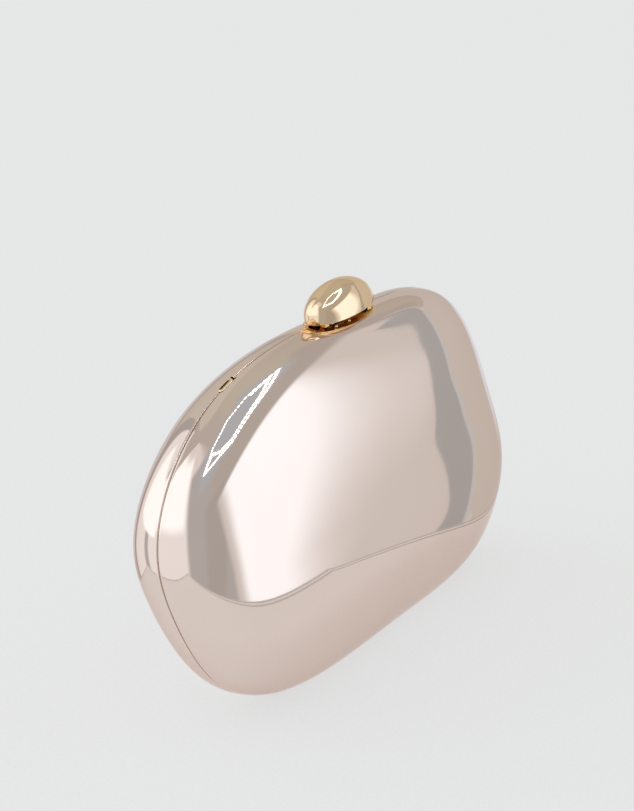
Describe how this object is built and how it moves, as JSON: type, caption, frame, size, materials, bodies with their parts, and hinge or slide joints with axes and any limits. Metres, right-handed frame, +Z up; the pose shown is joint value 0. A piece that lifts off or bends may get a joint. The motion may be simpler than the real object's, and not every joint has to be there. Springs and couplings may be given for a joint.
{
  "type": "hard-shell pebble clutch",
  "caption": "Pebble-shaped hard-shell evening clutch, hinged along its base, closed by a sprung egg-shaped knob on top.",
  "frame": {"origin": "middle of the flat base, on the surface that the clutch stands on", "axes": "+X along the width, towards the blunt end; -Y out of the front half, which opens; +Z up through the clasp"},
  "size_m": [0.2, 0.0376, 0.1083],
  "materials": {
    "shell": "mirror-polished rose-gold plate",
    "frame": "satin pale-gold plate",
    "lining": "satin cloth over a stiff liner",
    "hinge": "gold plate, lightly rubbed",
    "chain_bar": "polished gold plate",
    "clasp": "polished yellow-gold plate",
    "knob": "mirror-polished yellow-gold plate",
    "spring": "plain spring wire"
  },
  "bodies": {
    "back_half": {"back_shell": "shell", "back_frame": "frame", "back_lining": "lining", "left_hinge_back_leaf": "hinge", "left_hinge_back_leaf_rivet_1": "hinge", "left_hinge_back_leaf_rivet_2": "hinge", "right_hinge_back_leaf": "hinge", "right_hinge_back_leaf_rivet_1": "hinge", "right_hinge_back_leaf_rivet_2": "hinge", "left_hinge_pin": "hinge", "right_hinge_pin": "hinge", "left_chain_bar": "chain_bar", "right_chain_bar": "chain_bar", "clasp_catch_plate": "clasp", "clasp_catch_rivet_1": "clasp", "clasp_catch_rivet_2": "clasp"},
    "front_half": {"front_shell": "shell", "front_frame": "frame", "front_lining": "lining", "left_hinge_front_leaf": "hinge", "left_hinge_front_leaf_rivet_1": "hinge", "left_hinge_front_leaf_rivet_2": "hinge", "right_hinge_front_leaf": "hinge", "right_hinge_front_leaf_rivet_1": "hinge", "right_hinge_front_leaf_rivet_2": "hinge", "clasp_base_plate": "clasp", "clasp_base_rivet_1": "clasp", "clasp_base_rivet_2": "clasp", "clasp_axle": "clasp", "clasp_spring": "spring"},
    "clasp": {"clasp_lever": "clasp", "clasp_knob": "knob", "clasp_knob_screw_1": "clasp", "clasp_knob_screw_2": "clasp"}
  },
  "joints": [
    {"name": "case_hinge", "type": "hinge", "parent": "back_half", "child": "front_half", "pos_m": [0.022, 0, 0.00305], "axis": [1, 0, 0], "range_deg": [0, 80]},
    {"name": "clasp_hinge", "type": "hinge", "parent": "front_half", "child": "clasp", "pos_m": [0.00706, -0.0039, 0.09813], "axis": [0.9977, 0, -0.0676], "range_deg": [0, 25], "stiffness_Nm_per_rad": 0.04, "springref_deg": -34.38}
  ]
}
